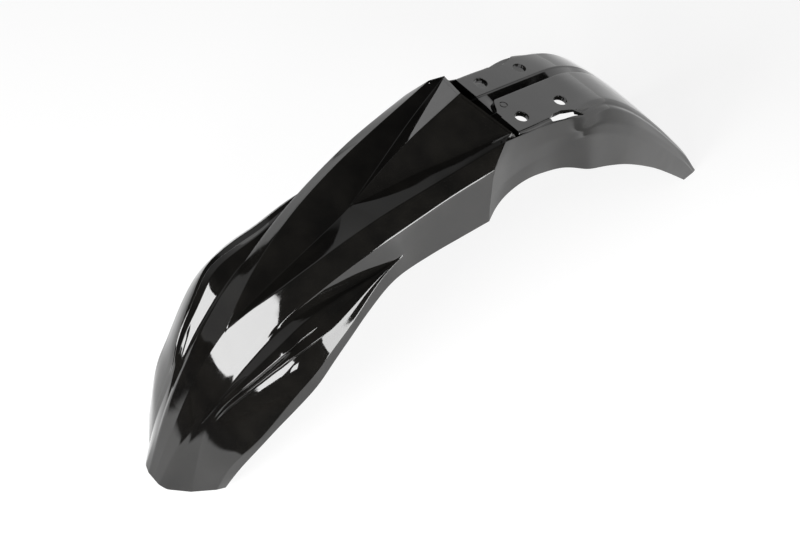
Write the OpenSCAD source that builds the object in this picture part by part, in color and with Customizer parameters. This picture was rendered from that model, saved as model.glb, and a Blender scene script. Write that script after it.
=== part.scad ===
// Front mudguard of a motocross motorcycle, moulded in one piece from gloss black plastic.
// The nose points along -Y, +Z is up, and the guard rests on its nose edge and its tail
// edge at z = 0. X = 0 is its plane of symmetry; only the groove in the bolt pad is off it.

/* [Nose section] */
// Length from the tip of the nose back to the peak of the rear rim
nose_len = 394; // [350:1:440]
// Width over the widest part of the side wings
wing_w = 182; // [160:1:200]
// Width over the top edges of the flanks, at the rear rim
shoulder_w = 131; // [120:1:145]
// How far the peak of the rear rim stands above the bolt pad
peak_rise = 32; // [24:1:38]

/* [Bolt pad] */
// Height of the pad's face above the ground, at the front pair of bolt holes
pad_h = 237.5; // [200:0.5:270]
// Slope of the pad down towards the tail, in degrees
pad_pitch = 13.6; // [11:0.1:16]
// Width of the pad
pad_w = 94; // [88:1:100]
// Thickness of the pad
pad_t = 5; // [4:0.1:7]
// Distance of the front pair of bolt holes behind the pad's front lip
lip_to_bolts = 19; // [15:0.5:24]
// Spacing of the bolt holes across the guard
bolt_x = 60; // [52:0.5:66]
// Spacing of the bolt holes along the pad
bolt_y = 55.2; // [46:0.1:62]
// Diameter of the bolt holes
bolt_d = 13.7; // [10:0.1:15]
// Length of the slot beside the pad, on each side
slot_len = 40; // [30:1:46]
// Width of the slot beside the pad
slot_w = 10; // [6:0.5:12]
// Width of the groove along the pad
groove_w = 12; // [8:0.5:16]
// Depth of the groove along the pad
groove_depth = 5; // [2:0.1:7]
// Distance of the groove's middle from the middle of the pad
groove_off = 9; // [6:0.5:12]
// Diameter of the shallow round recess left by the moulding gate
gate_d = 9; // [6:0.5:12]

/* [Rear flap] */
// Length from the front bolt holes back to the tail edge
tail_len = 260; // [220:1:290]
// Width over the tail
tail_w = 134; // [120:1:145]

/* [Shell] */
// Thickness of the moulded wall
wall = 3; // [2:0.1:4]
// Sections along the nose section
nose_steps = 26; // [16:1:34]
// Sections along the pad and the flap
tail_steps = 22; // [16:1:30]

/* [Hidden] */

// The rows below are measured on a nose 394 long, wings 182 wide and a pad 237.5 high.
// Each row is [y, x, z]: y runs back from the front bolt holes, x out from the middle
// plane and z up from the ground.
drawn_nose = 394;
drawn_wing = 182;
drawn_shoulder = 131;
drawn_pad_h = 237.5;
drawn_pitch = 13.6;
drawn_pad_w = 94;
drawn_rise = 32;
drawn_tail = 260;
drawn_tail_w = 134;
peak_y = -55;
pad_end = 65;

// Nose section: the ridge, which ends in the peak of the rim
ridge = [[-449, 0, 0], [-437, 0, 26], [-412, 0, 70], [-391, 0, 105], [-366, 0, 137],
    [-342, 0, 158.5], [-300, 0, 179], [-260, 0, 194], [-214, 0, 211], [-190, 0, 221.5],
    [-164, 0, 238], [-125, 0, 259.5], [-90, 0, 271.5], [-55, 0, 282.6]];
// Edges that fork from the ridge and run back to the shoulders of the rim
fork = [[-342, 1, 158.2], [-320, 8.5, 176.5], [-296, 17, 191], [-270, 23.5, 205],
    [-253, 27, 212.5], [-220, 32.5, 225], [-175, 39, 236.5], [-129, 45, 243],
    [-86, 50, 248], [-47, 54.6, 252.4]];
// Foot of the raised wedge that ends in the peak
wedge = [[-189, 1, 221.8], [-167, 7.5, 227], [-148, 13, 232.3], [-119, 22.2, 239.4],
    [-95, 30.5, 243.1], [-64, 39.8, 248.2], [-31, 49.1, 252.6]];
// Main side crease, the top edge of the flank
side = [[-449, 9, 0], [-421, 15.5, 54.5], [-396, 21, 91], [-367, 26, 124], [-322, 34, 162],
    [-277, 41.5, 187.5], [-221, 50, 211], [-151, 58.5, 229], [-108, 62, 235],
    [-69, 65.5, 237.4]];
// Bottom of the gully between the side crease and the wing
gully = [[-446, 18.5, 0], [-432, 19, 27.5], [-421, 19.5, 47.5], [-411, 22, 65.5], [-397, 25.5, 84.7],
    [-383, 28.5, 104], [-363, 32, 126.4], [-342, 35, 144.7], [-321, 37.5, 162.3], [-302, 39.5, 172.6],
    [-278, 42.5, 180.5], [-255, 47.5, 183.5], [-224, 54, 185.5], [-198, 59, 189.8], [-177, 63, 197]];
// Crest of the wing
crest = [[-429.5, 36, 0], [-416, 34.5, 41], [-404, 30.5, 69], [-395, 29, 86], [-384, 32.5, 102.5],
    [-366, 40, 124.5], [-345, 46, 143.5], [-320, 53.5, 167.5], [-294, 54, 179.5],
    [-261, 54.5, 185.5], [-211, 60, 191.5], [-177, 63, 197]];
// Inner line of the lip round the wing
lip = [[-412.5, 57.5, 13.5], [-396, 65, 53.5], [-367, 74.5, 81.5], [-349, 79, 103.5],
    [-332, 82, 123], [-313, 84, 138.5], [-300, 83, 145.5], [-282, 80.5, 156.5], [-250, 73.5, 168],
    [-214, 66.5, 187], [-194, 64, 192], [-177, 63, 196.5]];
// Outer edge of the nose section
edge = [[-404, 61, 13], [-396, 67, 35], [-387, 71, 49], [-378, 75, 62], [-367, 78, 73.5],
    [-353, 82, 90], [-338, 86, 105], [-322, 89, 119], [-306, 91, 132], [-297, 89.5, 137.5],
    [-280, 86.5, 148], [-257, 81.5, 157.5], [-234, 75.5, 165.5], [-195, 69, 178.3],
    [-151, 70, 181.2], [-115, 72, 180.6], [-80, 74, 179.6]];

// Rear section: the middle line of the pad and the flap, then the shoulder of the flap,
// which starts as the edge of the pad
spine = [[-19, 0, 242.1], [25, 0, 231.5], [65, 0, 221.8], [85, 0, 216.5], [105, 0, 206],
    [131, 0, 186], [165, 0, 148], [197, 0, 104], [223, 0, 66], [248, 0, 23], [260, 0, 0]];
shoulder = [[-19, 47, 242.1], [2, 47, 237], [23, 46.5, 232], [45, 49, 226.3], [65, 50, 220.5],
    [88, 47.5, 211.8], [107, 46.8, 201.3], [141, 48.3, 170], [170, 51, 136.5], [193, 55, 107],
    [213, 59.5, 78.5], [244, 62, 33], [260, 64, 0]];
// Top of the side panel, beside and a little below the pad
panel_top = [[-42, 52, 249], [-19, 49.5, 239], [3, 48.5, 232.5], [22, 48.5, 227.5],
    [40, 51, 224], [52, 52.5, 220.5], [65, 53.5, 214], [88, 52, 205.5], [107, 51.5, 195.5],
    [141, 53, 165], [170, 55.5, 131.5], [193, 59, 102], [213, 61.5, 74], [244, 64, 29], [259, 65, 0]];
// Upper part of the panel, hollowed for the fork leg
panel_mid = [[-66, 63, 236], [-40, 57, 224], [-10, 53, 216], [20, 53, 209], [42, 56, 206],
    [60, 61, 203], [88, 61, 193], [135, 62, 158], [174, 62.5, 117], [216, 64, 63], [257, 65.5, 0]];
// Side crease, down the panel and along the flap
flank = [[-74, 69, 210], [-45, 61, 204], [-14, 56, 198], [20, 54.5, 191], [42, 58, 191],
    [60, 64.5, 195], [88, 65, 181], [135, 66, 144], [174, 66, 106], [216, 66, 55],
    [248, 66, 13], [255, 66, 0]];
// Lower edge of the panel and the flap
hem = [[-79, 74, 179.4], [-68, 70, 186.7], [-47, 65, 189], [-15, 60, 182.6], [20, 57, 167],
    [37, 60, 161.7], [53, 65, 153.5], [61, 70, 150], [92, 71, 134], [123, 72, 115],
    [170, 70, 74], [203, 69, 40], [239, 67, 0]];

// Where the creases meet, from 0 at the tip of the nose to 1 at the rim
fork_at = 0.272;
wedge_at = 0.661;
wing_at = 0.7;
peak_at = 0.823;
// Distance behind the bolt holes at which the side slots begin, and its station
slot_y = 23;
slot_at = 0.3;
// How far the cheeks of the nose swell out between the crest and the lip
cheek = 2.5;
// Height of the two louvre lines on the wing
louvre = 2;
// Width of the pad's border, over which it thins to the wall
border = 5;
// Depth of the gap between the rim and the pad's lip, and of the step beside the pad
gap_depth = 8;
step_depth = 4;

function mix(a, b, f) = a + (b - a) * f;
function clamp(v, a, b) = max(a, min(b, v));
function ramp(v, a, b) = let(f = clamp((v - a) / (b - a), 0, 1)) f * f * (3 - 2 * f);
function pad_z(y) = pad_h - y * tan(pad_pitch);

// Smooth curve through rows whose first number is the position along the curve
function span(rows, v, i = 0) =
    i >= len(rows) - 2 || v <= rows[i + 1][0] ? i : span(rows, v, i + 1);
function slope(rows, i, c) = let(a = max(i - 1, 0), b = min(i + 1, len(rows) - 1))
    (rows[b][c] - rows[a][c]) / (rows[b][0] - rows[a][0]);
function curve(rows, v, c) =
    let(i = span(rows, v), h = rows[i + 1][0] - rows[i][0], u = clamp((v - rows[i][0]) / h, 0, 1))
    (2 * u ^ 3 - 3 * u ^ 2 + 1) * rows[i][c] + (3 * u ^ 2 - 2 * u ^ 3) * rows[i + 1][c]
    + h * ((u ^ 3 - 2 * u ^ 2 + u) * slope(rows, i, c) + (u ^ 3 - u ^ 2) * slope(rows, i + 1, c));

// Height after the pad's own height and slope are set; the ends stay on the ground
function settle(y, z) = let(q = clamp(y, peak_y, pad_end))
    z + (pad_z(q) - drawn_pad_h + q * tan(drawn_pitch)) * min(1, z / 150);

// Point of a nose crease that starts at station a and ends at station b, where it is
// as wide as the share rim_k of its row
function crease(rows, t, a, b, rim_k) =
    let(y = mix(rows[0][0], rows[len(rows) - 1][0], clamp((t - a) / (b - a), 0, 1)),
        ahead = min(y - peak_y, 0))
    [curve(rows, y, 1) * mix(wing_w / drawn_wing, rim_k, ramp(t, 0.45, 1)),
        y + ahead * (nose_len / drawn_nose - 1), settle(y, curve(rows, y, 2))];
// Point of a rear crease; every one passes slot_y at the same station
function back(rows, s, rim_k) =
    let(last = rows[len(rows) - 1][0],
        y = s < slot_at ? mix(rows[0][0], slot_y, s / slot_at)
            : mix(slot_y, last, (s - slot_at) / (1 - slot_at)),
        behind = max(y - pad_end, 0))
    [curve(rows, y, 1) * mix(rim_k, tail_w / drawn_tail_w, ramp(y, slot_y, last)),
        y + behind * ((tail_len - pad_end) / (drawn_tail - pad_end) - 1),
        settle(y, curve(rows, y, 2))];
// Share that moves from its open value to almost nothing where two creases meet
function closing(t, open, meet) = mix(open, 0.03, ramp(t, meet - 0.1, meet));
pad_k = pad_w / drawn_pad_w;
shoulder_k = shoulder_w / drawn_shoulder;

// Right half of a section of the nose, from the ridge out to the edge
function nose_half(t) =
    let(
        c = ridge_at(t),
        s = crease(side, t, 0, 1, shoulder_k), e = crease(edge, t, 0, 1, shoulder_k),
        f = t < fork_at ? mix(c, s, closing(t, 0.4, fork_at)) : crease(fork, t, fork_at, 1, pad_k),
        w = t < wedge_at ? mix(c, f, closing(t, 0.66, wedge_at))
            : crease(wedge, t, wedge_at, 1, pad_k),
        rim = crease(wedge, 1, wedge_at, 1, pad_k) + [-1.5, -1.5, 1.2],
        b = t < peak_at ? mix(c, w, closing(t, 0.66, peak_at))
            : mix(ridge_at(peak_at), rim, (t - peak_at) / (1 - peak_at)),
        out = function(open, meet) mix(s, e, mix(meet, open, ramp(t, wing_at, wing_at + 0.1))),
        wing = function(rows, open, meet) t < wing_at
            ? crease(rows, t, 0, wing_at, 1) + wing_shift(rows, meet) * ramp(t, wing_at - 0.12, wing_at)
            : out(open, meet),
        g = wing(gully, 0.1, 0.57), k = wing(crest, 0.4, 0.585), l = wing(lip, 0.85, 0.6),
        swell = [0.65, -0.45, 0.6] * cheek * ramp(t, 0, 0.05) * (1 - ramp(t, 0.3, 0.55)),
        raise = [0.4, -0.3, 0.85] * louvre * ramp(t, 0.13, 0.18) * (1 - ramp(t, 0.27, 0.34)),
        face = function(f) mix(k, l, f) + swell * 4 * f * (1 - f),
        upper = clamp(0.7 * t, 0.05, 0.3), lower = clamp(1.2 * t, 0.12, 0.5)
    )
    [c, mix(c, b, 0.25), mix(c, b, 0.5), mix(c, b, 0.75), b, mix(b, w, 0.5), w,
        mix(w, f, 0.5), f, mix(f, s, 0.5), s, g, mix(g, k, 0.5), k,
        face(upper) + raise, face(upper + 0.02), face(lower) + raise, face(lower + 0.02),
        face(mix(lower, 1, 0.4)), face(mix(lower, 1, 0.7)), l, e];
// Moves the end of a wing crease onto the flank
function wing_shift(rows, meet) = mix(crease(side, wing_at, 0, 1, shoulder_k),
    crease(edge, wing_at, 0, 1, shoulder_k), meet) - crease(rows, wing_at, 0, wing_at, 1);
function ridge_at(t) = crease(ridge, t, 0, 1, 1)
    + [0, 0, (peak_rise - drawn_rise) * ramp(t, wedge_at, 1)];

// Mirrored section from the left edge to the right edge
function both(half) = concat([for (i = [len(half) - 1:-1:1]) [-half[i][0], half[i][1], half[i][2]]], half);

// The groove in the pad: its edges, its depth and how far it opens at the pad's lip
groove_near = groove_off - groove_w / 2;
groove_far = groove_off + groove_w / 2;
groove_flare = 16;
groove_end = 150;
function flare(y) = groove_flare * (1 - ramp(y, -lip_to_bolts, 13 - lip_to_bolts));
function depth(y) = groove_depth * (1 - ramp(y, groove_end - 40, groove_end));

// One side of a section of the pad and the flap; hand is 1 on the right and -1 on the left
function back_half(s, hand) =
    let(
        c = back(spine, s, pad_k), e = back(shoulder, s, pad_k), p = back(panel_top, s, pad_k),
        m = back(panel_mid, s, shoulder_k), k = back(flank, s, shoulder_k),
        h = back(hem, s, shoulder_k),
        y = e[1], bevel = step_depth * (1 - ramp(y, pad_end - 10, pad_end + 15)),
        flap = ramp(y, pad_end - 10, pad_end + 15) * clamp(e[2] / 20, 0, 1),
        near = flare(y) - groove_near,
        at_x = function(x, drop = 0) [x, y, mix(c[2], e[2], (x / e[0]) ^ 2) - drop],
        pad = hand > 0 ? [for (f = [0.2, 0.4, 0.6, 0.8]) at_x(mix(near + 4, e[0] - border, f))]
            : [at_x(-near), at_x(1 - near, depth(y)), at_x(groove_far - 1, depth(y)),
                at_x(groove_far)],
        brow = [e[0] - 1.5 * flap, e[1], e[2] - 1.5 * flap],
        foot = [e[0] + 0.8, e[1], e[2] - bevel - 4.5 * flap]
    )
    concat([at_x(hand * (near + 4))], pad, [at_x(e[0] - border)],
        [brow, foot, p, mix(p, m, 0.5), m, mix(m, k, 0.33), mix(m, k, 0.67), k,
            for (f = [1:8]) mix(k, h, f / 8)]);
function mirrored(points) = [for (p = points) [-p[0], p[1], p[2]]];
function reversed(points) = [for (i = [len(points) - 1:-1:0]) points[i]];
function tail_of(points) = [for (i = [1:len(points) - 1]) points[i]];
function back_section(s) =
    concat(reversed(mirrored(tail_of(back_half(s, -1)))), back_half(s, 1));

// The gap between the rim of the nose section and the lip of the pad
middle = 21;
function gap_point(a, b, i, f) =
    let(col = abs(i - middle), q = mix(a, b, f), sunk = 1 - ramp(col, 6, 10))
    [q[0] - sign(q[0]) * (col < 7 || col > 13 ? 0 : 1.5), q[1],
        col <= 6 ? pad_z(q[1]) - gap_depth : q[2] - gap_depth * sunk * 0.5];
function gap_section(f) = let(a = both(nose_half(1)), b = back_section(0))
    [for (i = [0:2 * middle]) gap_point(a[i], b[i], i, f)];

// Stations, with a section on each meeting point
function stations(marks, n) = concat([for (i = [0:len(marks) - 2])
    let(k = max(1, round(n * (marks[i + 1] - marks[i])))) for (j = [0:k - 1])
        mix(marks[i], marks[i + 1], j / k)], [marks[len(marks) - 1]]);
nose_at = stations([0, 0.06, fork_at, wedge_at, wing_at, peak_at, 1], nose_steps);
back_at = stations([0, 0.2, slot_at, 0.4, 0.43, 1], tail_steps);

skin = concat([for (t = nose_at) both(nose_half(t))], [gap_section(0.12), gap_section(0.8)],
    [for (s = back_at) back_section(s)]);
rows_n = len(skin);
cols_n = 2 * middle + 1;

// Inner face: each point of the skin moved along its normal by the wall
function unit(v) = v / max(norm(v), 0.000001);
function normal(i, j) = unit(cross(
    skin[min(i + 1, rows_n - 1)][j] - skin[max(i - 1, 0)][j],
    skin[i][min(j + 1, cols_n - 1)] - skin[i][max(j - 1, 0)]));
function wall_at(p) = mix(wall, pad_t,
    ramp(p[1], -lip_to_bolts - 2, -lip_to_bolts + 2) * (1 - ramp(p[1], 65, 80))
    * (1 - ramp(abs(p[0]), pad_w / 2 - border, pad_w / 2 + 1)));
function inner(i, j) = let(p = skin[i][j], q = p + normal(i, j) * wall_at(p))
    [q[0], q[1], i == 0 || i == rows_n - 1 ? p[2] : max(q[2], 0)];
core = [for (i = [0:rows_n - 1]) [for (j = [0:cols_n - 1]) inner(i, j)]];

module shell() {
    n = rows_n * cols_n;
    id = function(i, j) i * cols_n + j;
    quad = function(a, b, c, d, flip) flip ? [[d, b, a], [d, c, b]] : [[c, b, a], [d, c, a]];
    points = concat([for (r = skin) for (p = r) p], [for (r = core) for (p = r) p]);
    outer = [for (i = [0:rows_n - 2]) for (j = [0:cols_n - 2])
        for (f = quad(id(i, j), id(i, j + 1), id(i + 1, j + 1), id(i + 1, j), j < middle)) f];
    inward = [for (f = outer) [f[2] + n, f[1] + n, f[0] + n]];
    ends = [for (j = [0:cols_n - 2]) for (f = concat(
        quad(id(0, j), id(0, j) + n, id(0, j + 1) + n, id(0, j + 1), false),
        quad(id(rows_n - 1, j + 1), id(rows_n - 1, j + 1) + n, id(rows_n - 1, j) + n,
            id(rows_n - 1, j), false))) f];
    sides = [for (i = [0:rows_n - 2]) for (f = concat(
        quad(id(i + 1, 0), id(i + 1, 0) + n, id(i, 0) + n, id(i, 0), false),
        quad(id(i, cols_n - 1), id(i, cols_n - 1) + n, id(i + 1, cols_n - 1) + n,
            id(i + 1, cols_n - 1), false))) f];
    polyhedron(points, concat(outer, inward, ends, sides));
}

// Places a child on the pad, y behind the front bolt holes, with Z along the pad's normal
module on_pad(x, y) translate([x, y, pad_z(y)]) rotate([-pad_pitch, 0, 0]) children();

// Lens-shaped slot between the pad and the panel, on the right side
module slot() {
    reach = 4 * pad_t;
    outline = [[0, 0], [-0.4, 0.2], [-0.4, 0.45], [0, 0.7], [0.65, 1], [0.7, 0.95],
        [0.55, 0.7], [0.45, 0.4], [0.2, 0.1]];
    on_pad(pad_w / 2 - 1, slot_y) translate([0, 0, -reach / 2])
        linear_extrude(reach) polygon([for (p = outline) [p[0] * slot_w, p[1] * slot_len]]);
}

module bolt_holes() {
    for (x = [-1, 1], y = [0, 1]) on_pad(x * bolt_x / 2, y * bolt_y * cos(pad_pitch))
        cylinder(d = bolt_d, h = 4 * pad_t, center = true, $fn = 48);
}

// Shallow ring left in the pad by the moulding gate, beside the groove
module gate_mark() {
    on_pad(7.3, -3.4) difference() {
        cylinder(d = gate_d, h = 1.2, center = true, $fn = 32);
        cylinder(d = gate_d - 2.4, h = 2, center = true, $fn = 32);
    }
}

module mudguard() {
    nose_y = skin[0][middle][1];
    tail_y = skin[rows_n - 1][middle][1];
    color([0.03, 0.03, 0.03]) translate([0, -(nose_y + tail_y) / 2, 0]) difference() {
        shell();
        bolt_holes();
        gate_mark();
        slot();
        mirror([1, 0, 0]) slot();
    }
}

mudguard();
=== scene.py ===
# Front mudguard of a motocross motorcycle, one moulded shell of gloss black plastic.
# The nose points along -Y and +Z is up; the shell rests on its nose edge and its tail edge.
import math

import bpy
import numpy as np
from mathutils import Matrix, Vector


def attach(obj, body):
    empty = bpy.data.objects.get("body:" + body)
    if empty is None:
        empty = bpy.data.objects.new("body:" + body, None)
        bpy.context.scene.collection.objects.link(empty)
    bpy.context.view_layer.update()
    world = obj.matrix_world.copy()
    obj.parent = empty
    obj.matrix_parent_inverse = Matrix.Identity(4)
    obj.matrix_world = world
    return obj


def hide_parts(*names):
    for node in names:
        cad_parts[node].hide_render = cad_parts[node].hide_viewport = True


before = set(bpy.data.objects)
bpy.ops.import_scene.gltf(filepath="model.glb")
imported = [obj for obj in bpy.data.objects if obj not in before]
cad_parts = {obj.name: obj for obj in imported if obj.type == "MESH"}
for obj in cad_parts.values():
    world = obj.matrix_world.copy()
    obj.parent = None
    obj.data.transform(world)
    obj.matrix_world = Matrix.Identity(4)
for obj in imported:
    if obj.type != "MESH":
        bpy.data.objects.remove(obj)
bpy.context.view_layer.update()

# Every length below is in millimetres, with y measured back from the front bolt holes.
# SHIFT_Y moves that origin to the middle of the part, and MM turns the result to metres.
MM = 0.001
SHIFT_Y = 94.5

# Rows of [y, x, z] along each crease of the right half
# The ridge, which ends in the peak of the rim
RIDGE = [[-449, 0, 0], [-437, 0, 26], [-412, 0, 70], [-391, 0, 105], [-366, 0, 137],
    [-342, 0, 158.5], [-300, 0, 179], [-260, 0, 194], [-214, 0, 211], [-190, 0, 221.5],
    [-164, 0, 238], [-125, 0, 259.5], [-90, 0, 271.5], [-55, 0, 282.6]]
# Edge that forks from the ridge and runs back to the shoulder of the rim
FORK = [[-342, 1, 158.2], [-320, 8.5, 176.5], [-296, 17, 191], [-270, 23.5, 205],
    [-253, 27, 212.5], [-220, 32.5, 225], [-175, 39, 236.5], [-129, 45, 243],
    [-86, 50, 248], [-47, 54.6, 252.4]]
# Foot of the raised wedge that ends in the peak
WEDGE = [[-189, 1, 221.8], [-167, 7.5, 227], [-148, 13, 232.3], [-119, 22.2, 239.4],
    [-95, 30.5, 243.1], [-64, 39.8, 248.2], [-31, 49.1, 252.6]]
# Main side crease, the top edge of the flank
SIDE = [[-449, 9, 0], [-421, 15.5, 54.5], [-396, 21, 91], [-367, 26, 124], [-322, 34, 162],
    [-277, 41.5, 187.5], [-221, 50, 211], [-151, 58.5, 229], [-108, 62, 235],
    [-69, 65.5, 237.4]]
# Bottom of the gully between the side crease and the wing
GULLY = [[-446, 18.5, 0], [-432, 19, 27], [-421, 19.5, 47.5], [-411, 22, 65.5], [-397, 25.5, 83.4],
    [-383, 29, 101.7], [-363, 32.5, 124.8], [-342, 35, 143.3], [-321, 38, 160.8], [-302, 39.5, 171.6],
    [-278, 42.5, 178.5], [-255, 47.5, 181.5], [-224, 54, 185], [-198, 59, 189.8], [-177, 63, 197]]
# Crest of the wing
CREST = [[-429.5, 36, 0], [-416, 34.5, 41], [-404, 30.5, 69.5], [-395, 29, 88.3], [-384, 32.5, 105.8],
    [-366, 40, 127.3], [-345, 46, 145.2], [-320, 53.5, 168.5], [-294, 54, 178.5],
    [-261, 54.5, 182.5], [-211, 60, 190], [-177, 63, 197]]
# Inner line of the lip round the wing
LIP = [[-412.5, 57.5, 13.5], [-396, 65, 53.5], [-367, 74.5, 81.5], [-349, 79, 103.5],
    [-332, 82, 123], [-313, 84, 138.5], [-300, 83, 145.5], [-282, 80.5, 156.5], [-250, 73.5, 168],
    [-214, 66.5, 187], [-194, 64, 192], [-177, 63, 196.5]]
# Outer edge of the nose section
EDGE = [[-404, 61, 13], [-396, 67, 35], [-387, 71, 49], [-378, 75, 62], [-367, 78, 73.5],
    [-353, 82, 90], [-338, 86, 105], [-322, 89, 119], [-306, 91, 132], [-297, 89.5, 137.5],
    [-280, 86.5, 148], [-257, 81.5, 157.5], [-234, 75.5, 165.5], [-195, 69, 178.3],
    [-151, 70, 181.2], [-115, 72, 180.6], [-80, 74, 179.6]]
# Middle line of the pad and the flap
SPINE = [[-19, 0, 242.1], [25, 0, 231.5], [65, 0, 221.8], [85, 0, 216.5], [105, 0, 206],
    [131, 0, 186], [165, 0, 148], [197, 0, 104], [223, 0, 66], [248, 0, 23], [260, 0, 0]]
# Edge of the pad, then the shoulder of the flap
SHOULDER = [[-19, 47, 242.1], [2, 47, 237], [23, 46.5, 232], [45, 49, 226.3], [65, 50, 220.5],
    [88, 47.5, 211.8], [107, 46.8, 201.3], [141, 48.3, 170], [170, 51, 136.5], [193, 55, 107],
    [213, 59.5, 78.5], [244, 62, 33], [260, 64, 0]]
# Top of the side panel, beside and a little below the pad
PANEL_TOP = [[-42, 52, 249], [-19, 49.5, 239], [3, 48.5, 232.5], [22, 48.5, 227.5],
    [40, 51, 224], [52, 52.5, 220.5], [65, 53.5, 214], [88, 52, 205.5], [107, 51.5, 195.5],
    [141, 53, 165], [170, 55.5, 131.5], [193, 59, 102], [213, 61.5, 74], [244, 64, 29], [259, 65, 0]]
# Upper part of the panel, hollowed for the fork leg
PANEL_MID = [[-66, 63, 236], [-40, 57, 224], [-10, 53, 216], [20, 53, 209], [42, 56, 206],
    [60, 61, 203], [88, 61, 193], [135, 62, 158], [174, 62.5, 117], [216, 64, 63], [257, 65.5, 0]]
# Side crease, down the panel and along the flap
FLANK = [[-74, 69, 210], [-45, 61, 204], [-14, 56, 198], [20, 54.5, 191], [42, 58, 191],
    [60, 64.5, 195], [88, 65, 181], [135, 66, 144], [174, 66, 106], [216, 66, 55],
    [248, 66, 13], [255, 66, 0]]
# Lower edge of the panel and the flap
HEM = [[-79, 74, 179.4], [-68, 70, 186.7], [-47, 65, 189], [-15, 60, 182.6], [20, 57, 167],
    [37, 60, 161.7], [53, 65, 153.5], [61, 70, 150], [92, 71, 134], [123, 72, 115],
    [170, 70, 74], [203, 69, 40], [239, 67, 0]]

# Stations where creases meet, from 0 at the tip of the nose to 1 at the rim
FORK_AT = 0.272
WEDGE_AT = 0.661
WING_AT = 0.7
PEAK_AT = 0.823
# Distance behind the bolt holes at which the side slots begin, and its station
SLOT_Y = 23
SLOT_AT = 0.3
# Where a crease lies between its neighbours before it leaves them, as shares of the way
FORK_SHARE = 0.4
WEDGE_SHARE = 0.66
CLOSED_SHARE = 0.03
PEAK_SHARE = 0.004
CLOSING_LENGTH = 0.1
# Stations over which a crease of the wing turns into a line of the flank
WING_JOIN = 0.12
WING_SPREAD = 0.1
# Times that the creases of the nose section and of the rear are evened out
NOSE_EASE = 24
BACK_EASE = 6
# Corner of the rim beside the foot of the wedge
RIM_CORNER = np.array([-1.5, -1.5, 1.2])
# Bolt pad: height at the front holes, slope, thickness and border
PAD_H = 237.5
PAD_PITCH = math.radians(13.6)
PAD_W = 94
PAD_T = 5
PAD_END = 65
PAD_BORDER = 5
LIP_Y = -19
# The pad folds down into the flap between these two distances
FOLD_START = PAD_END - 10
FOLD_END = PAD_END + 15
# Shoulder of the flap: how far its edge is cut back, how far its foot stands out and drops,
# and the height above the floor at which this fades
SHOULDER_CUT = 1.5
FOOT_OUT = 0.8
FOOT_DROP = 4.5
FLAP_FADE = 20
# Groove along the pad: its two sides, depth, wide mouth and end
GROOVE_NEAR = 3
GROOVE_FAR = 15
GROOVE_DEPTH = 5
GROOVE_TILT = 0.25
GROOVE_FLARE = 16
FLARE_LENGTH = 13
GROOVE_END = 150
GROOVE_FADE = 40
GROOVE_LEAN = 1
GROOVE_MARGIN = 4
# Shell
WALL = 3
GAP_DEPTH = 8
STEP_DEPTH = 4
# Roundness of the wing's face, the two fine steps along it and the swelling behind them
CHEEK = 2.5
CHEEK_WAY = np.array([0.65, -0.45, 0.6])
LOUVRE = 2.6
SINK = 2.6
LOUVRE_WAY = np.array([0.4, -0.3, 0.85])
LOUVRE_WIDTH = 0.02
BULGE = 2.4
BULGE_WAY = np.array([0.5, -0.1, 0.85])
# How far the inner line of the lip stands out, so that the band outside it is steep
LIP_SHIFT = np.array([2.6, 0, 1.6])
# Least cosine between a corner and its facets, which limits how far a corner moves inwards
LEAST_COSINE = 0.7
# Columns on each side of the middle: all of them, those of the gap's flat floor, those where
# its floor has risen, and the last one that is drawn in beside it
MIDDLE = 21
GAP_FLAT = 6
GAP_RISEN = 10
GAP_DRAWN = 13
GAP_DRAW = 1.5
# Where the three sections of the gap lie on the way from the rim to the lip of the pad
GAP_SECTIONS = (0.12, 0.46, 0.8)
# Stations along the nose section, and along the pad and the flap
NOSE_STATIONS = 150
BACK_STATIONS = 120


def ramp(v, a, b):
    """Smooth step from 0 at a to 1 at b."""
    f = np.clip((np.asarray(v, float) - a) / (b - a), 0, 1)
    return f * f * (3 - 2 * f)


def mix(a, b, f):
    """Point or points a share f of the way from a to b."""
    f = np.asarray(f, float)
    if f.ndim:
        f = f[:, None]
    return a + (b - a) * f


def unit(v):
    """The same direction with a length of 1."""
    return v / np.maximum(np.linalg.norm(v, axis=-1, keepdims=True), 1e-9)


def pad_z(y):
    """Height of the pad's plane."""
    return PAD_H - y * math.tan(PAD_PITCH)


def ease(points, times):
    """Evens out small waves along a curve and keeps its two ends."""
    points = points.copy()
    for _ in range(times):
        points[1:-1] = 0.25 * points[:-2] + 0.5 * points[1:-1] + 0.25 * points[2:]
    return points


def curve(rows, y):
    """Points at the given y on the smooth curve through the rows."""
    rows = np.array(rows, float)
    at, last = rows[:, 0], len(rows) - 1
    index = np.arange(len(rows))
    before, after = rows[np.maximum(index - 1, 0)], rows[np.minimum(index + 1, last)]
    slope = (after - before) / (after[:, :1] - before[:, :1])
    i = np.clip(np.searchsorted(at, y) - 1, 0, last - 1)
    h = (at[i + 1] - at[i])[:, None]
    u = np.clip((y - at[i])[:, None] / h, 0, 1)
    p = (2 * u**3 - 3 * u**2 + 1) * rows[i] + (3 * u**2 - 2 * u**3) * rows[i + 1]
    p += h * ((u**3 - 2 * u**2 + u) * slope[i] + (u**3 - u**2) * slope[i + 1])
    return np.column_stack([p[:, 1], y, p[:, 2]])


def crease(rows, t, start=0.0, end=1.0):
    """A nose crease between two stations."""
    y = rows[0][0] + (rows[-1][0] - rows[0][0]) * np.clip((t - start) / (end - start), 0, 1)
    points = curve(rows, y)
    live = (t >= start) & (t <= end)
    points[live] = ease(points[live], NOSE_EASE)
    return points


def closing(t, open_share, meet, least=CLOSED_SHARE):
    """Share that falls to almost nothing where two creases meet."""
    return open_share + (least - open_share) * ramp(t, meet - CLOSING_LENGTH, meet)


def pick(early, first, second):
    """Rows of the first curve at the early stations and of the second at the others."""
    return np.where(early[:, None], first, second)


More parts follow.
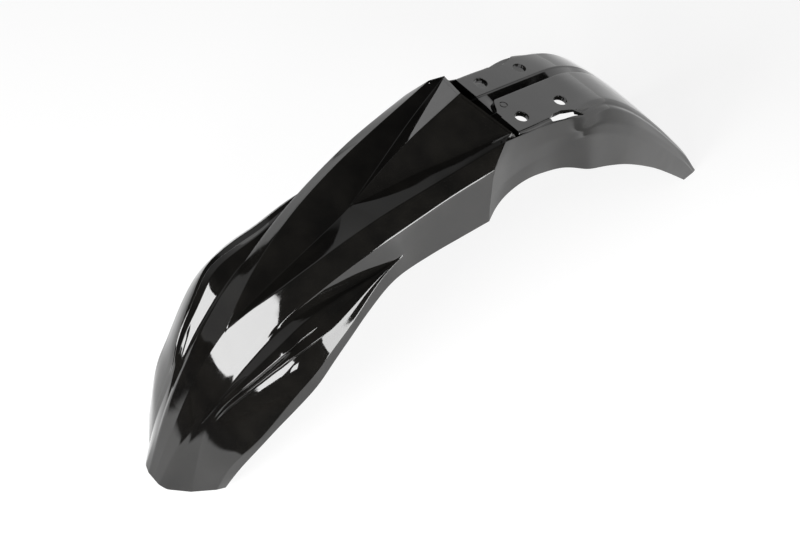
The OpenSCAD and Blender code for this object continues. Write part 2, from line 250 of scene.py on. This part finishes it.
def window(t, up_from, up_to, down_from, down_to):
    """Column that grows from 0 to 1 and falls back to 0 along the stations."""
    return (ramp(t, up_from, up_to) * (1 - ramp(t, down_from, down_to)))[:, None]


def nose_half(t):
    """Corner curves of the right half of the nose section, from the ridge to the edge."""
    ridge = crease(RIDGE, t)
    side = crease(SIDE, t)
    edge = crease(EDGE, t)
    fork = pick(t < FORK_AT, mix(ridge, side, closing(t, FORK_SHARE, FORK_AT)),
                crease(FORK, t, FORK_AT))
    wedge = pick(t < WEDGE_AT, mix(ridge, fork, closing(t, WEDGE_SHARE, WEDGE_AT)),
                 crease(WEDGE, t, WEDGE_AT))
    rim = wedge[-1] + RIM_CORNER
    peak = ridge[np.searchsorted(t, PEAK_AT)]
    brow = pick(t < PEAK_AT, mix(ridge, wedge, closing(t, WEDGE_SHARE, PEAK_AT, PEAK_SHARE)),
                mix(peak[None], rim[None], np.clip((t - PEAK_AT) / (1 - PEAK_AT), 0, 1)))
    tip = np.searchsorted(t, WING_AT)

    def wing(rows, open_share, meet):
        """A crease of the wing, which behind the wing's tip runs on inside the flank."""
        spread = meet + (open_share - meet) * ramp(t, WING_AT, WING_AT + WING_SPREAD)
        rest = mix(side, edge, spread)
        own = crease(rows, t, 0, WING_AT)
        own = own + (rest[tip] - own[tip]) * ramp(t, WING_AT - WING_JOIN, WING_AT)[:, None]
        return pick(t < WING_AT, own, rest)

    gully = wing(GULLY, 0.1, 0.57)
    crest = wing(CREST, 0.4, 0.585)
    lip = wing(LIP, 0.85, 0.6) + window(t, 0.02, 0.1, 0.5, WING_AT) * LIP_SHIFT
    swell = window(t, 0, 0.05, 0.3, 0.55) * CHEEK * CHEEK_WAY
    rise = window(t, 0.1, 0.16, 0.3, 0.42) * LOUVRE * LOUVRE_WAY
    sink = window(t, 0.1, 0.16, 0.26, 0.42) * SINK * LOUVRE_WAY
    bulge = window(t, 0.12, 0.42, 0.5, WING_AT) * BULGE * BULGE_WAY

    def face(share):
        """A line on the face of the wing, a share of the way from the crest to the lip."""
        share = np.broadcast_to(share, t.shape)
        return mix(crest, lip, share) + swell * (4 * share * (1 - share))[:, None]

    upper = np.clip(0.7 * t, 0.05, 0.3)
    lower = np.clip(1.2 * t, 0.12, 0.33) + 0.28 * ramp(t, 0.25, 0.46)
    top = [ridge] + [mix(ridge, brow, share) for share in (0.25, 0.5, 0.75)]
    top += [brow, mix(brow, wedge, 0.5), wedge, mix(wedge, fork, 0.5), fork]
    flank = [mix(fork, side, 0.5), side, gully, mix(gully, crest, 0.5), crest]
    steps = [face(upper) + 1.4 * rise, face(upper + LOUVRE_WIDTH),
             face(lower) + 1.2 * rise + bulge, face(lower + LOUVRE_WIDTH) - sink + bulge]
    cheek = [face(lower + (1 - lower) * 0.26) + 0.6 * bulge,
             face(lower + (1 - lower) * 0.6) + 0.3 * bulge]
    return top + flank + steps + cheek + [lip, edge]


def mirrored(points):
    """The same points on the other side of the middle plane."""
    return points * np.array([-1, 1, 1])


def both(left, right):
    """Columns from the left edge to the right edge, as (station, column, xyz)."""
    return np.stack([mirrored(p) for p in left[:0:-1]] + right, axis=1)


def back(rows, s):
    """A rear crease; every one passes SLOT_Y at the same station."""
    first, last = rows[0][0], rows[-1][0]
    y = np.where(s < SLOT_AT, first + (SLOT_Y - first) * s / SLOT_AT,
                 SLOT_Y + (last - SLOT_Y) * (s - SLOT_AT) / (1 - SLOT_AT))
    return ease(curve(rows, y), BACK_EASE)


def back_half(s, hand):
    """Corner curves of one side of the pad and the flap; hand is 1 on the right."""
    spine = back(SPINE, s)
    shoulder = back(SHOULDER, s)
    panel_top = back(PANEL_TOP, s)
    panel_mid = back(PANEL_MID, s)
    flank = back(FLANK, s)
    hem = back(HEM, s)
    y = shoulder[:, 1]
    fold = ramp(y, FOLD_START, FOLD_END)
    bevel = STEP_DEPTH * (1 - fold)
    flap = fold * np.clip(shoulder[:, 2] / FLAP_FADE, 0, 1)
    near = GROOVE_FLARE * (1 - ramp(y, LIP_Y, LIP_Y + FLARE_LENGTH)) - GROOVE_NEAR
    depth = GROOVE_DEPTH * (1 - ramp(y, GROOVE_END - GROOVE_FADE, GROOVE_END))

    def at_x(x, drop=0.0):
        """A line at x on the arched top, which falls from the spine to the shoulder."""
        x = np.broadcast_to(x, y.shape)
        fall = (shoulder[:, 2] - spine[:, 2]) * (x / shoulder[:, 0])**2
        return np.column_stack([x, y, spine[:, 2] + fall - drop])

    inner = shoulder[:, 0] - PAD_BORDER
    margin = near + GROOVE_MARGIN
    if hand > 0:
        pad = [at_x(margin + (inner - margin) * f) for f in (0.2, 0.4, 0.6, 0.8)]
    else:
        pad = [at_x(-near), at_x(GROOVE_LEAN - near, depth),
               at_x(GROOVE_FAR - GROOVE_LEAN, GROOVE_TILT * depth), at_x(GROOVE_FAR)]
    brow = shoulder - flap[:, None] * np.array([SHOULDER_CUT, 0, SHOULDER_CUT])
    foot_drop = bevel + FOOT_DROP * flap
    foot = shoulder + np.column_stack([np.full(len(y), FOOT_OUT), 0 * y, -foot_drop])
    panel = [foot, panel_top, mix(panel_top, panel_mid, 0.5), panel_mid]
    panel += [mix(panel_mid, flank, f) for f in (0.33, 0.67)]
    skirt = [flank] + [mix(flank, hem, f / 8) for f in range(1, 9)]
    return [at_x(hand * margin)] + pad + [at_x(inner), brow] + panel + skirt


def stations(marks, count):
    """Even steps with a station on each mark."""
    parts = [np.linspace(a, b, max(2, round(count * (b - a)) + 1))[:-1]
             for a, b in zip(marks, marks[1:])]
    return np.append(np.concatenate(parts), marks[-1])


def gap_section(rim, lip, f):
    """Section of the sunk gap between the rim of the nose section and the pad's lip."""
    column = np.abs(np.arange(2 * MIDDLE + 1) - MIDDLE)
    q = rim + (lip - rim) * f
    drop = GAP_DEPTH * 0.5 * (1 - ramp(column, GAP_FLAT, GAP_RISEN))
    z = np.where(column <= GAP_FLAT, pad_z(q[:, 1]) - GAP_DEPTH, q[:, 2] - drop)
    kept = (column <= GAP_FLAT) | (column > GAP_DRAWN)
    x = q[:, 0] - np.sign(q[:, 0]) * np.where(kept, 0, GAP_DRAW)
    return np.column_stack([x, q[:, 1], z])


def corner_grid():
    """Corner curves of the whole skin, as (station, column, xyz), and the gap's stations."""
    t = stations([0, 0.06, FORK_AT, WEDGE_AT, WING_AT, PEAK_AT, 1], NOSE_STATIONS)
    s = stations([0, 0.2, SLOT_AT, 0.4, 0.43, 1], BACK_STATIONS)
    half = nose_half(t)
    nose = both(half, half)
    rear = both(back_half(s, -1), back_half(s, 1))
    gap = np.stack([gap_section(nose[-1], rear[0], f) for f in GAP_SECTIONS])
    return np.concatenate([nose, gap, rear]), len(nose), len(gap)


def core_grid(skin):
    """Inner corner curves: each corner moved in by the wall, square to the facets beside it."""
    along = np.gradient(skin, axis=0)
    across = np.diff(skin, axis=1)
    left = unit(np.cross(along[:, 1:], across))
    right = unit(np.cross(along[:, :-1], across))
    before = np.concatenate([right[:, :1], left], axis=1)
    after = np.concatenate([right, left[:, -1:]], axis=1)
    normal = unit(before + after)
    reach = 1 / np.maximum((normal * before).sum(-1), LEAST_COSINE)
    x, y = skin[..., 0], skin[..., 1]
    pad = (ramp(y, LIP_Y - 2, LIP_Y + 2) * (1 - ramp(y, PAD_END, FOLD_END))
           * (1 - ramp(np.abs(x), PAD_W / 2 - PAD_BORDER, PAD_W / 2 + 1)))
    wall = WALL + (PAD_T - WALL) * pad
    core = skin + normal * (wall * reach)[..., None]
    core[..., 2] = np.maximum(core[..., 2], 0)
    core[0, :, 2] = skin[0, :, 2]
    core[-1, :, 2] = skin[-1, :, 2]
    return core


def rounded(grid, radii):
    """Adds columns: a small arc at every corner and one column in the middle of each facet."""
    columns = [grid[:, 0]]
    previous = grid[:, 0]
    for j in range(1, grid.shape[1]):
        corner = grid[:, j]
        if j == grid.shape[1] - 1:
            columns += [mix(previous, corner, 0.5), corner]
            break
        back_way, forward = grid[:, j - 1] - corner, grid[:, j + 1] - corner
        back_len = np.linalg.norm(back_way, axis=1)
        forward_len = np.linalg.norm(forward, axis=1)
        r = radii[:, j]
        start = corner + unit(back_way) * np.minimum(r, 0.45 * back_len)[:, None]
        end = corner + unit(forward) * np.minimum(r, 0.45 * forward_len)[:, None]
        columns += [mix(previous, start, 0.5)]
        for u in (0.0, 0.33, 0.67, 1.0):
            columns.append((1 - u)**2 * start + 2 * u * (1 - u) * corner + u * u * end)
        previous = end
    return np.stack(columns, axis=1)


# Radius of every corner curve of the skin, from the middle to the edge, and the share of it
# that the inner face has
NOSE_RADII = [1.2, 0, 0, 0, 1.0, 0, 1.0, 0, 1.0, 0, 2.0, 3.0, 0, 1.6, 1.2, 0.3, 1.2, 0.3, 0, 0, 0.8, 0]
BACK_RADII = [0.8, 0.8, 0.8, 0.8, 0.8, 0, 2.0, 1.0, 2.0, 0, 6.0, 0, 0, 3.0, 0, 0, 0, 0, 0, 0, 0, 0]
INNER_SHARE = 0.4


def radii_for(skin, nose_count, gap_count):
    """Radius of each corner of the skin."""
    radii = np.zeros(skin.shape[:2])
    nose = np.array(NOSE_RADII[:0:-1] + NOSE_RADII)
    rear = np.array(BACK_RADII[:0:-1] + BACK_RADII)
    radii[:nose_count] = nose
    radii[nose_count:nose_count + gap_count] = np.minimum(nose, rear)
    radii[nose_count + gap_count:] = rear
    return radii


def shell_mesh(name):
    """One closed wall: the skin, the inner face and the rounded rim that joins them."""
    corners, nose_count, gap_count = corner_grid()
    radii = radii_for(corners, nose_count, gap_count)
    skin = rounded(corners, radii)
    core = rounded(core_grid(corners), radii * INNER_SHARE)
    rows, columns = skin.shape[:2]
    count = rows * columns
    points = np.concatenate([skin.reshape(-1, 3), core.reshape(-1, 3)])
    i, j = np.meshgrid(np.arange(rows - 1), np.arange(columns - 1), indexing="ij")
    a = (i * columns + j).ravel()
    outer = np.column_stack([a, a + 1, a + 1 + columns, a + columns])
    faces = [outer, outer[:, ::-1] + count]
    j = np.arange(columns - 1)
    for first, flip in ((0, False), ((rows - 1) * columns, True)):
        a = first + j
        strip = np.column_stack([a, a + count, a + 1 + count, a + 1])
        faces.append(strip[:, ::-1] if flip else strip)
    i = np.arange(rows - 1)
    for first, flip in ((0, True), (columns - 1, False)):
        a = first + i * columns
        strip = np.column_stack([a, a + count, a + columns + count, a + columns])
        faces.append(strip[:, ::-1] if flip else strip)
    faces = np.concatenate(faces)
    points[:, 1] += SHIFT_Y
    mesh = bpy.data.meshes.new(name)
    mesh.from_pydata((points * MM).tolist(), [], faces.tolist())
    mesh.validate()
    mesh.update()
    return mesh


def on_pad(x, y, z=0.0):
    """A point of the pad in metres: y behind the front bolt holes, z along its normal."""
    return Vector((x, y + z * math.sin(PAD_PITCH) + SHIFT_Y, pad_z(y) + z * math.cos(PAD_PITCH))) * MM


def pad_prism(rings, closed=False):
    """Closed body on the pad from rings of (x, distance along the pad, height) points."""
    n = len(rings[0])
    points = [on_pad(x, v * math.cos(PAD_PITCH), z) for ring in rings for x, v, z in ring]
    faces = []
    for a in range(len(rings) if closed else len(rings) - 1):
        low, high = a * n, (a + 1) % len(rings) * n
        faces += [[low + k, low + (k + 1) % n, high + (k + 1) % n, high + k] for k in range(n)]
    if not closed:
        faces += [list(range(n))[::-1], list(range((len(rings) - 1) * n, len(rings) * n))]
    return points, faces


def circle(x, v, z, r, count=48):
    """Points round a circle on the pad."""
    turn = 2 * math.pi / count
    return [(x + r * math.cos(k * turn), v + r * math.sin(k * turn), z) for k in range(count)]


# Pattern and bore of the bolt holes, the width of their chamfer, and how far above the pad
# the cutter reaches that width
BOLT_X = 60
BOLT_Y = 55.2
BOLT_D = 13.7
CHAMFER = 0.7
CHAMFER_TOP = 0.2
# Length of a cutter on each side of the pad's surface
CUT = 12
# Ring left by the gate of the mould
GATE_AT = (7.3, -3.4)
GATE_R = 4.5
GATE_DEPTH = 0.6
# Side slots, with their outline in shares of the width and the length
SLOT_LEN = 45
SLOT_W = 10
SLOT_SHAPE = [(0, 0), (-0.4, 0.2), (-0.4, 0.45), (0, 0.7), (0.65, 1), (0.7, 0.95),
              (0.55, 0.7), (0.45, 0.4), (0.2, 0.1)]


def cutters():
    """One object with a body for each bolt hole, the mark of the gate and each side slot."""
    bodies = []
    for x, v in [(side * BOLT_X / 2, row * BOLT_Y) for side in (-1, 1) for row in (0, 1)]:
        steps = ((-CUT, 0), (CHAMFER_TOP - CHAMFER, 0), (CHAMFER_TOP, CHAMFER), (CUT, CHAMFER))
        bodies.append(pad_prism([circle(x, v, z, BOLT_D / 2 + more) for z, more in steps]))
    x, v = GATE_AT[0], GATE_AT[1] / math.cos(PAD_PITCH)
    ring = ((-GATE_DEPTH, -1), (-GATE_DEPTH, -0.3), (2, 0.5), (2, -1.8))
    bodies.append(pad_prism([circle(x, v, z, GATE_R + more) for z, more in ring], True))
    edge_x, start = PAD_W / 2 - 1, SLOT_Y / math.cos(PAD_PITCH)
    for hand in (1, -1):
        outline = [(hand * (edge_x + u * SLOT_W), start + v * SLOT_LEN) for u, v in SLOT_SHAPE]
        bodies.append(pad_prism([[(*p, z) for p in outline[::-hand]] for z in (-CUT, CUT)]))
    points, faces = [], []
    for body_points, body_faces in bodies:
        faces += [[k + len(points) for k in face] for face in body_faces]
        points += body_points
    mesh = bpy.data.meshes.new("cutters")
    mesh.from_pydata(points, [], faces)
    mesh.update()
    return bpy.data.objects.new("cutters", mesh)


def apply_modifiers(piece):
    """Keeps the mesh that the modifiers make, and drops them."""
    graph = bpy.context.evaluated_depsgraph_get()
    mesh = bpy.data.meshes.new_from_object(piece.evaluated_get(graph))
    piece.modifiers.clear()
    piece.data = mesh


shell = bpy.data.objects.new("shell", shell_mesh("shell"))
bpy.context.scene.collection.objects.link(shell)
tool = cutters()
bpy.context.scene.collection.objects.link(tool)
cut = shell.modifiers.new("holes", "BOOLEAN")
cut.operation = "DIFFERENCE"
cut.solver = "EXACT"
cut.object = tool
apply_modifiers(shell)
bpy.data.objects.remove(tool)
shell.data.polygons.foreach_set("use_smooth", [True] * len(shell.data.polygons))
shell.data.set_sharp_from_angle(angle=math.radians(60))
even = shell.modifiers.new("even_shading", "WEIGHTED_NORMAL")
even.keep_sharp = True
apply_modifiers(shell)


def map_range(tree, source, low, high, out_low=0.0, out_high=1.0, smooth=True):
    """Value that goes from out_low where the source is low to out_high where it is high."""
    node = tree.nodes.new("ShaderNodeMapRange")
    if smooth:
        node.interpolation_type = "SMOOTHSTEP"
    tree.links.new(source, node.inputs["Value"])
    node.inputs["From Min"].default_value = low
    node.inputs["From Max"].default_value = high
    node.inputs["To Min"].default_value = out_low
    node.inputs["To Max"].default_value = out_high
    return node.outputs["Result"]


def blend(tree, factor, low, high):
    """Mix of two grey values, or of two outputs, by a factor."""
    node = tree.nodes.new("ShaderNodeMix")
    node.data_type = "RGBA"
    tree.links.new(factor, node.inputs["Factor"])
    for key, value in (("A", low), ("B", high)):
        if isinstance(value, float):
            node.inputs[key].default_value = (value, value, value, 1)
        else:
            tree.links.new(value, node.inputs[key])
    return node.outputs["Result"]


def combine(tree, a, b, operation):
    """Result of a sum, product or comparison of two outputs."""
    node = tree.nodes.new("ShaderNodeMath")
    node.operation = operation
    tree.links.new(a, node.inputs[0])
    tree.links.new(b, node.inputs[1])
    return node.outputs[0]


# Scales are in cells per metre, and distances in metres
TINT_SCALE = 35
WEAR_SCALE = 140
WAVE_SCALE = 28
GRAIN_SCALE = 900
DARK_TINT = (0.0045, 0.0043, 0.004, 1)
PALE_TINT = (0.0075, 0.007, 0.0062, 1)
GLOSS_LOW = 0.035
GLOSS_HIGH = 0.075
WAVE_HEIGHT = 0.0002
GRAIN_HEIGHT = 0.000004


def plastic(name):
    """Gloss black moulded plastic: a faint waviness from the mould, and fine wear and dust."""
    material = bpy.data.materials.new(name)
    material.use_nodes = True
    tree = material.node_tree
    shader = tree.nodes["Principled BSDF"]
    shader.inputs["IOR"].default_value = 1.5
    place = tree.nodes.new("ShaderNodeTexCoord")

    def noise(scale, detail, low=0.0, high=1.0):
        """Noise over the surface, spread between two values."""
        texture = tree.nodes.new("ShaderNodeTexNoise")
        texture.inputs["Scale"].default_value = scale
        texture.inputs["Detail"].default_value = detail
        tree.links.new(place.outputs["Object"], texture.inputs["Vector"])
        return map_range(tree, texture.outputs["Fac"], 0.35, 0.65, low, high, smooth=False)

    def bump(height, distance, strength):
        """Bump of the surface by a height."""
        node = tree.nodes.new("ShaderNodeBump")
        node.inputs["Strength"].default_value = strength
        node.inputs["Distance"].default_value = distance
        tree.links.new(height, node.inputs["Height"])
        return node

    tint = tree.nodes.new("ShaderNodeMix")
    tint.data_type = "RGBA"
    tree.links.new(noise(TINT_SCALE, 3), tint.inputs["Factor"])
    tint.inputs["A"].default_value = DARK_TINT
    tint.inputs["B"].default_value = PALE_TINT
    tree.links.new(tint.outputs["Result"], shader.inputs["Base Color"])
    tree.links.new(noise(WEAR_SCALE, 5, GLOSS_LOW, GLOSS_HIGH), shader.inputs["Roughness"])
    wave = bump(noise(WAVE_SCALE, 1), WAVE_HEIGHT, 0.5)
    grain = bump(noise(GRAIN_SCALE, 2), GRAIN_HEIGHT, 0.3)
    tree.links.new(wave.outputs["Normal"], grain.inputs["Normal"])
    tree.links.new(grain.outputs["Normal"], shader.inputs["Normal"])
    return material


shell.data.materials.clear()
shell.data.materials.append(plastic("shell_plastic"))
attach(shell, "root")
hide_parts("mudguard")


def direction(azimuth, elevation):
    """Unit vector at an azimuth (0 is the front, 90 is +X) and an elevation, in degrees."""
    azimuth, elevation = math.radians(azimuth), math.radians(elevation)
    return Vector((math.sin(azimuth) * math.cos(elevation),
                   -math.cos(azimuth) * math.cos(elevation), math.sin(elevation)))


# The lamps stand round this point of the wing, in metres
LAMP_AIM = Vector((0, -0.1, 0.15))


def card(name, way, reach, size, radiance):
    """A rectangular lamp at a distance from the aim, facing it."""
    light = bpy.data.lights.new(name, "AREA")
    light.shape = "RECTANGLE"
    light.size, light.size_y = size
    light.energy = radiance * math.pi * size[0] * size[1]
    lamp = bpy.data.objects.new(name, light)
    lamp.location = LAMP_AIM + way * reach
    lamp.rotation_euler = way.to_track_quat("Z", "Y").to_euler()
    lamp.visible_camera = False
    bpy.context.scene.collection.objects.link(lamp)


FLOOR_REACH = 6
floor_mesh = bpy.data.meshes.new("floor")
corners = [(x * FLOOR_REACH, y * FLOOR_REACH, 0) for x, y in ((-1, -1), (1, -1), (1, 1), (-1, 1))]
floor_mesh.from_pydata(corners, [], [(0, 1, 2, 3)])
floor = bpy.data.objects.new("floor", floor_mesh)
bpy.context.scene.collection.objects.link(floor)


# How bright the paper shows by itself: to the camera, and in the gloss of the shell, where it
# grows towards the rear as painted light, standing in for the pale rear wall's light on the paper.
# The shade is the share that the shadow of the shell can take away.
PAPER_GLOW = 0.8
PAPER_MIRRORED = 0.35
PAPER_REAR = 0.5
PAPER_HORIZON = 1.4
PAPER_SHADE = 0.25
# Metres from the middle of the shell between which the table's edge fades in the gloss: on
# the right, on the left and in front
PAPER_RIGHT = (0.85, 1.0)
PAPER_LEFT = (-1.5, -1.3)
PAPER_FRONT = (-0.66, -0.56)
# Behind the shell the paper shows at any distance to the sides
REAR_START = (0.15, 0.45)
# Metres behind the middle over which the paper's glow in the gloss grows: painted light for the pale
# rear wall's light on the paper
REAR_GROWTH = (0.3, 4)


def paper(name):
    """White paper with a soft shadow; past the edge of the table its reflections are dark, and behind
    the shell they carry painted light for the pale rear wall's light.
    """
    material = bpy.data.materials.new(name)
    material.use_nodes = True
    tree = material.node_tree
    shader = tree.nodes["Principled BSDF"]
    shader.inputs["Roughness"].default_value = 0.9
    shader.inputs["Specular IOR Level"].default_value = 0.0
    shader.inputs["Emission Color"].default_value = (1, 1, 1, 1)
    place = tree.nodes.new("ShaderNodeTexCoord")
    split = tree.nodes.new("ShaderNodeSeparateXYZ")
    tree.links.new(place.outputs["Object"], split.inputs[0])
    x, y = split.outputs["X"], split.outputs["Y"]
    table = map_range(tree, x, *PAPER_RIGHT, 1, 0)
    table = blend(tree, table, 0.0, map_range(tree, x, *PAPER_LEFT))
    table = blend(tree, table, 0.0, map_range(tree, y, *PAPER_FRONT))
    rear = map_range(tree, y, *REAR_START)
    table = blend(tree, rear, table, 1.0)
    # Painted light: the paper's glow in the gloss grows towards the rear, for the pale rear wall's
    # light falling on it
    painted_rear_light = map_range(tree, y, *REAR_GROWTH, PAPER_REAR, PAPER_HORIZON, smooth=False)
    path = tree.nodes.new("ShaderNodeLightPath")
    to_camera = path.outputs["Is Camera Ray"]
    shade = blend(tree, to_camera, blend(tree, table, 0.02, 0.9), PAPER_SHADE)
    tree.links.new(shade, shader.inputs["Base Color"])
    mirrored_glow = blend(tree, table, 0.0, blend(tree, rear, PAPER_MIRRORED, painted_rear_light))
    glow = blend(tree, path.outputs["Is Glossy Ray"], 0.0, mirrored_glow)
    tree.links.new(blend(tree, to_camera, glow, PAPER_GLOW), shader.inputs["Emission Strength"])
    return material


floor_mesh.materials.append(paper("floor_paper"))


# Walls of the studio as the gloss shows them: where each starts in its direction, how bright
# it is, and the height at which it ends. Overhead it is dark.
REAR_WALL = (0.45, 0.7)
REAR_WALL_GLOW = 1.5
REAR_WALL_TOP = (0.53, 0.555)
FAR_WALL = (-0.6, -0.8)
FAR_WALL_GLOW = 0.35
FAR_WALL_TOP = (0.55, 0.66)
DARK_GLOW = 0.02


def studio_world():
    """Dark overhead, with a pale wall behind and a grey wall on the left; white to the camera."""
    world = bpy.data.worlds.new("studio")
    bpy.context.scene.world = world
    world.use_nodes = True
    tree = world.node_tree
    place = tree.nodes.new("ShaderNodeTexCoord")
    split = tree.nodes.new("ShaderNodeSeparateXYZ")
    tree.links.new(place.outputs["Generated"], split.inputs[0])
    height = split.outputs["Z"]
    rear = combine(tree, map_range(tree, split.outputs["Y"], *REAR_WALL, 0, REAR_WALL_GLOW),
                   map_range(tree, height, *REAR_WALL_TOP, 1, 0), "MULTIPLY")
    far = combine(tree, map_range(tree, split.outputs["X"], *FAR_WALL, 0, FAR_WALL_GLOW),
                  map_range(tree, height, *FAR_WALL_TOP, 1, 0), "MULTIPLY")
    glow = tree.nodes.new("ShaderNodeMath")
    glow.operation = "ADD"
    tree.links.new(combine(tree, rear, far, "MAXIMUM"), glow.inputs[0])
    glow.inputs[1].default_value = DARK_GLOW
    view = tree.nodes.new("ShaderNodeLightPath")
    shown = combine(tree, glow.outputs[0], view.outputs["Is Camera Ray"], "MAXIMUM")
    background = tree.nodes["Background"]
    tree.links.new(shown, background.inputs["Strength"])
    background.inputs["Color"].default_value = (1, 1, 1, 1)


studio_world()
card("front", direction(6, 28), 1.6, (0.9, 0.62), 18)
card("left_front", direction(45, 20), 1.6, (0.4, 0.3), 18)
card("near", direction(100, 11), 1.0, (0.45, 0.45), 15)

# The view of the photo: where the camera looks from, how far, and its lens in picture widths
VIEW_FROM = direction(49.85, 52.02)
VIEW_REACH = 1.6
VIEW_AIM = Vector((0, (-129.95 + SHIFT_Y) * MM, 77.72 * MM))
FOCAL_SHARE = 1550.45 / 800
SENSOR_WIDTH = 36

camera_data = bpy.data.cameras.new("camera")
camera_data.sensor_width = SENSOR_WIDTH
camera_data.lens = FOCAL_SHARE * SENSOR_WIDTH
camera = bpy.data.objects.new("camera", camera_data)
camera.location = VIEW_AIM + VIEW_FROM * VIEW_REACH
camera.rotation_euler = (-VIEW_FROM).to_track_quat("-Z", "Y").to_euler()
bpy.context.scene.collection.objects.link(camera)
bpy.context.scene.camera = camera
bpy.context.scene.view_settings.view_transform = "Standard"
